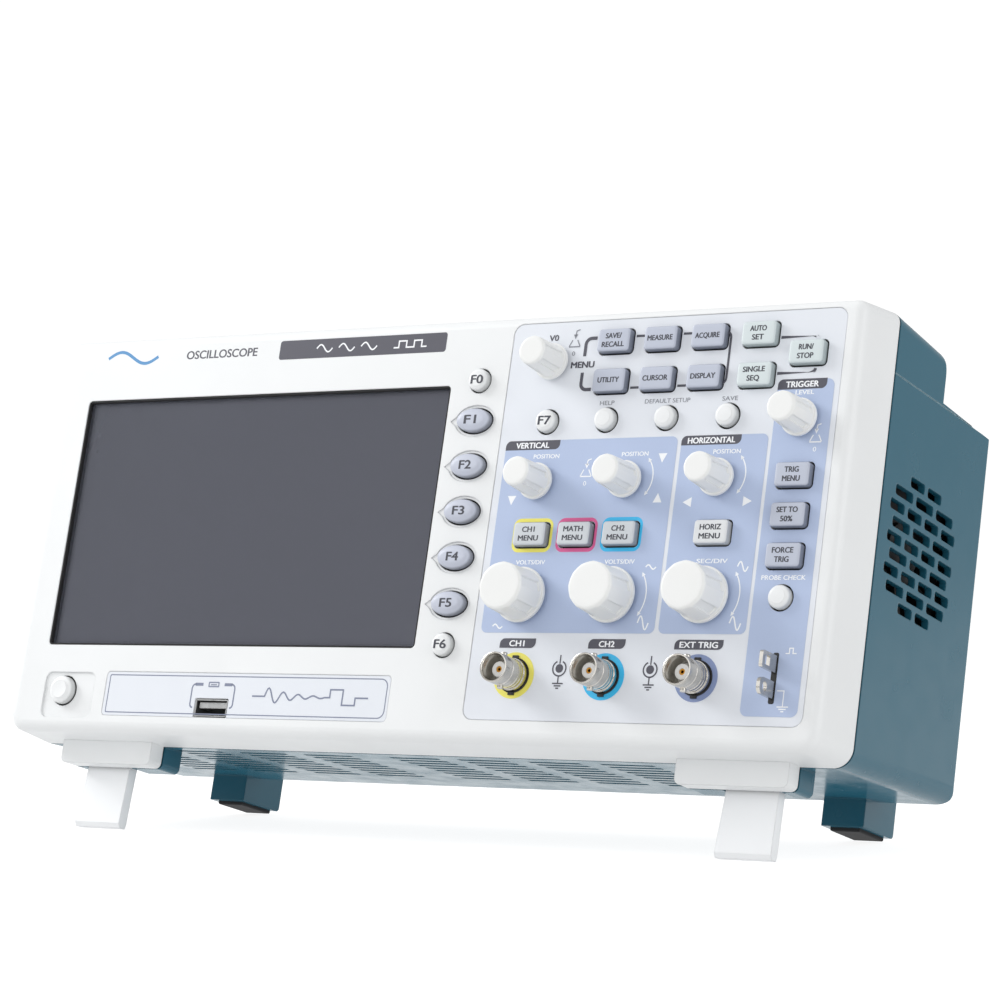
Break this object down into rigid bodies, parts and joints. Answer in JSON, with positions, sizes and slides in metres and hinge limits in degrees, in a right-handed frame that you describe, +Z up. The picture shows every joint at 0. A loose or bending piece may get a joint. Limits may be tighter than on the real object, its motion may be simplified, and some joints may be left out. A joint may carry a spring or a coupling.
{
  "type": "oscilloscope",
  "caption": "Bench digital oscilloscope with a landscape display, turning knobs, push keys, coaxial inputs, fold-out tilt feet and a folding carry handle.",
  "frame": {"origin": "middle of the underside of the whole box, at the height of the tilt feet's tips", "axes": "+X to the right seen from the front, +Y from the front panel to the rear face, +Z up"},
  "size_m": [0.313, 0.1196, 0.1691],
  "materials": {
    "bezel_white": "fine satin moulded ABS",
    "case_teal": "fine-textured satin moulded ABS",
    "label_film": "matte printed polycarbonate film",
    "display_glass": "clear glossy window",
    "display_panel": "dark switched-off display in a metal tray",
    "key_grey": "satin moulded key",
    "key_pale": "satin moulded key",
    "key_white": "satin moulded key",
    "softkey_blue": "satin moulded key",
    "knob_white": "satin moulded knob",
    "nickel": "nickel-plated brass",
    "circuit_board": "solder-masked glass epoxy",
    "sheet_steel": "zinc-plated sheet",
    "black_plastic": "moulded black",
    "rubber_black": "soft matte",
    "wire": "cable insulation"
  },
  "bodies": {
    "case": {"front_bezel": "bezel_white", "rear_case": "case_teal", "lcd_window": "display_glass", "lcd_module": "display_panel", "control_label": "label_film", "control_board": "circuit_board", "main_board": "circuit_board", "rf_shield": "sheet_steel", "chassis": "sheet_steel", "bnc_sockets": "nickel", "usb_host_port": "sheet_steel", "usb_device_port": "sheet_steel", "probe_terminals": "nickel", "power_supply_board": "circuit_board", "power_inlet": "black_plastic", "fan_frame": "black_plastic", "wiring_harness": "wire", "foot_pads": "rubber_black", "case_screws": "sheet_steel"},
    "tilt_foot_left": {"tilt_foot_left": "bezel_white"},
    "tilt_foot_right": {"tilt_foot_right": "bezel_white"},
    "carry_handle": {"carry_handle": "case_teal"},
    "fan_rotor": {"fan_rotor": "black_plastic"},
    "knob_v0": {"knob_v0": "knob_white"},
    "knob_ch1_position": {"knob_ch1_position": "knob_white"},
    "knob_ch2_position": {"knob_ch2_position": "knob_white"},
    "knob_horiz_position": {"knob_horiz_position": "knob_white"},
    "knob_trig_level": {"knob_trig_level": "knob_white"},
    "knob_ch1_volts": {"knob_ch1_volts": "knob_white"},
    "knob_ch2_volts": {"knob_ch2_volts": "knob_white"},
    "knob_timebase": {"knob_timebase": "knob_white"},
    "softkey_f0": {"softkey_f0": "key_white"},
    "softkey_f1": {"softkey_f1": "softkey_blue"},
    "softkey_f2": {"softkey_f2": "softkey_blue"},
    "softkey_f3": {"softkey_f3": "softkey_blue"},
    "softkey_f4": {"softkey_f4": "softkey_blue"},
    "softkey_f5": {"softkey_f5": "softkey_blue"},
    "softkey_f6": {"softkey_f6": "key_white"},
    "softkey_f7": {"softkey_f7": "key_white"},
    "key_help": {"key_help": "key_white"},
    "key_default_setup": {"key_default_setup": "key_white"},
    "key_save_usb": {"key_save_usb": "key_white"},
    "key_save_recall": {"key_save_recall": "key_grey"},
    "key_measure": {"key_measure": "key_grey"},
    "key_acquire": {"key_acquire": "key_grey"},
    "key_utility": {"key_utility": "key_grey"},
    "key_cursor": {"key_cursor": "key_grey"},
    "key_display": {"key_display": "key_grey"},
    "key_auto_set": {"key_auto_set": "key_pale"},
    "key_single": {"key_single": "key_pale"},
    "key_run_stop": {"key_run_stop": "key_pale"},
    "key_horiz_menu": {"key_horiz_menu": "key_grey"},
    "key_trig_menu": {"key_trig_menu": "key_grey"},
    "key_set_half": {"key_set_half": "key_grey"},
    "key_force_trig": {"key_force_trig": "key_grey"},
    "key_probe_check": {"key_probe_check": "key_white"},
    "key_ch1_menu": {"key_ch1_menu": "key_grey"},
    "key_math_menu": {"key_math_menu": "key_grey"},
    "key_ch2_menu": {"key_ch2_menu": "key_grey"},
    "power_button": {"power_button": "key_white"}
  },
  "joints": [
    {"name": "tilt_foot_left_fold", "type": "hinge", "parent": "case", "child": "tilt_foot_left", "pos_m": [-0.124, -0.022, 0.0249], "axis": [1, 0, 0], "range_deg": [0, 93]},
    {"name": "tilt_foot_right_fold", "type": "hinge", "parent": "case", "child": "tilt_foot_right", "pos_m": [0.124, -0.022, 0.0249], "axis": [1, 0, 0], "range_deg": [0, 93]},
    {"name": "carry_handle_swing", "type": "hinge", "parent": "case", "child": "carry_handle", "pos_m": [0, 0.0157, 0.1581], "axis": [1, 0, 0], "range_deg": [0, 90]},
    {"name": "fan_spin", "type": "hinge", "parent": "case", "child": "fan_rotor", "pos_m": [0.1435, 0.0044, 0.1013], "axis": [1, 0, 0], "continuous": true},
    {"name": "knob_v0_turn", "type": "hinge", "parent": "case", "child": "knob_v0", "pos_m": [0.047, -0.0458, 0.1511], "axis": [0, 1, 0], "continuous": true},
    {"name": "knob_ch1_position_turn", "type": "hinge", "parent": "case", "child": "knob_ch1_position", "pos_m": [0.047, -0.0458, 0.112], "axis": [0, 1, 0], "continuous": true},
    {"name": "knob_ch2_position_turn", "type": "hinge", "parent": "case", "child": "knob_ch2_position", "pos_m": [0.0792, -0.0458, 0.112], "axis": [0, 1, 0], "continuous": true},
    {"name": "knob_horiz_position_turn", "type": "hinge", "parent": "case", "child": "knob_horiz_position", "pos_m": [0.1114, -0.0458, 0.112], "axis": [0, 1, 0], "continuous": true},
    {"name": "knob_trig_level_turn", "type": "hinge", "parent": "case", "child": "knob_trig_level", "pos_m": [0.1373, -0.0458, 0.13], "axis": [0, 1, 0], "continuous": true},
    {"name": "knob_ch1_volts_turn", "type": "hinge", "parent": "case", "child": "knob_ch1_volts", "pos_m": [0.047, -0.0458, 0.0755], "axis": [0, 1, 0], "continuous": true},
    {"name": "knob_ch2_volts_turn", "type": "hinge", "parent": "case", "child": "knob_ch2_volts", "pos_m": [0.0792, -0.0458, 0.0755], "axis": [0, 1, 0], "continuous": true},
    {"name": "knob_timebase_turn", "type": "hinge", "parent": "case", "child": "knob_timebase", "pos_m": [0.1114, -0.0458, 0.0755], "axis": [0, 1, 0], "continuous": true},
    {"name": "softkey_f0_press", "type": "slide", "parent": "case", "child": "softkey_f0", "axis": [0, 1, 0], "range_m": [0, 0.0012], "stiffness_N_per_m": 400},
    {"name": "softkey_f1_press", "type": "slide", "parent": "case", "child": "softkey_f1", "axis": [0, 1, 0], "range_m": [0, 0.0012], "stiffness_N_per_m": 400},
    {"name": "softkey_f2_press", "type": "slide", "parent": "case", "child": "softkey_f2", "axis": [0, 1, 0], "range_m": [0, 0.0012], "stiffness_N_per_m": 400},
    {"name": "softkey_f3_press", "type": "slide", "parent": "case", "child": "softkey_f3", "axis": [0, 1, 0], "range_m": [0, 0.0012], "stiffness_N_per_m": 400},
    {"name": "softkey_f4_press", "type": "slide", "parent": "case", "child": "softkey_f4", "axis": [0, 1, 0], "range_m": [0, 0.0012], "stiffness_N_per_m": 400},
    {"name": "softkey_f5_press", "type": "slide", "parent": "case", "child": "softkey_f5", "axis": [0, 1, 0], "range_m": [0, 0.0012], "stiffness_N_per_m": 400},
    {"name": "softkey_f6_press", "type": "slide", "parent": "case", "child": "softkey_f6", "axis": [0, 1, 0], "range_m": [0, 0.0012], "stiffness_N_per_m": 400},
    {"name": "softkey_f7_press", "type": "slide", "parent": "case", "child": "softkey_f7", "axis": [0, 1, 0], "range_m": [0, 0.0012], "stiffness_N_per_m": 400},
    {"name": "key_help_press", "type": "slide", "parent": "case", "child": "key_help", "axis": [0, 1, 0], "range_m": [0, 0.0012], "stiffness_N_per_m": 400},
    {"name": "key_default_setup_press", "type": "slide", "parent": "case", "child": "key_default_setup", "axis": [0, 1, 0], "range_m": [0, 0.0012], "stiffness_N_per_m": 400},
    {"name": "key_save_usb_press", "type": "slide", "parent": "case", "child": "key_save_usb", "axis": [0, 1, 0], "range_m": [0, 0.0012], "stiffness_N_per_m": 400},
    {"name": "key_save_recall_press", "type": "slide", "parent": "case", "child": "key_save_recall", "axis": [0, 1, 0], "range_m": [0, 0.0012], "stiffness_N_per_m": 400},
    {"name": "key_measure_press", "type": "slide", "parent": "case", "child": "key_measure", "axis": [0, 1, 0], "range_m": [0, 0.0012], "stiffness_N_per_m": 400},
    {"name": "key_acquire_press", "type": "slide", "parent": "case", "child": "key_acquire", "axis": [0, 1, 0], "range_m": [0, 0.0012], "stiffness_N_per_m": 400},
    {"name": "key_utility_press", "type": "slide", "parent": "case", "child": "key_utility", "axis": [0, 1, 0], "range_m": [0, 0.0012], "stiffness_N_per_m": 400},
    {"name": "key_cursor_press", "type": "slide", "parent": "case", "child": "key_cursor", "axis": [0, 1, 0], "range_m": [0, 0.0012], "stiffness_N_per_m": 400},
    {"name": "key_display_press", "type": "slide", "parent": "case", "child": "key_display", "axis": [0, 1, 0], "range_m": [0, 0.0012], "stiffness_N_per_m": 400},
    {"name": "key_auto_set_press", "type": "slide", "parent": "case", "child": "key_auto_set", "axis": [0, 1, 0], "range_m": [0, 0.0012], "stiffness_N_per_m": 400},
    {"name": "key_single_press", "type": "slide", "parent": "case", "child": "key_single", "axis": [0, 1, 0], "range_m": [0, 0.0012], "stiffness_N_per_m": 400},
    {"name": "key_run_stop_press", "type": "slide", "parent": "case", "child": "key_run_stop", "axis": [0, 1, 0], "range_m": [0, 0.0012], "stiffness_N_per_m": 400},
    {"name": "key_horiz_menu_press", "type": "slide", "parent": "case", "child": "key_horiz_menu", "axis": [0, 1, 0], "range_m": [0, 0.0012], "stiffness_N_per_m": 400},
    {"name": "key_trig_menu_press", "type": "slide", "parent": "case", "child": "key_trig_menu", "axis": [0, 1, 0], "range_m": [0, 0.0012], "stiffness_N_per_m": 400},
    {"name": "key_set_half_press", "type": "slide", "parent": "case", "child": "key_set_half", "axis": [0, 1, 0], "range_m": [0, 0.0012], "stiffness_N_per_m": 400},
    {"name": "key_force_trig_press", "type": "slide", "parent": "case", "child": "key_force_trig", "axis": [0, 1, 0], "range_m": [0, 0.0012], "stiffness_N_per_m": 400},
    {"name": "key_probe_check_press", "type": "slide", "parent": "case", "child": "key_probe_check", "axis": [0, 1, 0], "range_m": [0, 0.0012], "stiffness_N_per_m": 400},
    {"name": "key_ch1_menu_press", "type": "slide", "parent": "case", "child": "key_ch1_menu", "axis": [0, 1, 0], "range_m": [0, 0.0012], "stiffness_N_per_m": 400},
    {"name": "key_math_menu_press", "type": "slide", "parent": "case", "child": "key_math_menu", "axis": [0, 1, 0], "range_m": [0, 0.0012], "stiffness_N_per_m": 400},
    {"name": "key_ch2_menu_press", "type": "slide", "parent": "case", "child": "key_ch2_menu", "axis": [0, 1, 0], "range_m": [0, 0.0012], "stiffness_N_per_m": 400},
    {"name": "power_button_press", "type": "slide", "parent": "case", "child": "power_button", "axis": [0, 1, 0], "range_m": [0, 0.0012], "stiffness_N_per_m": 400}
  ]
}
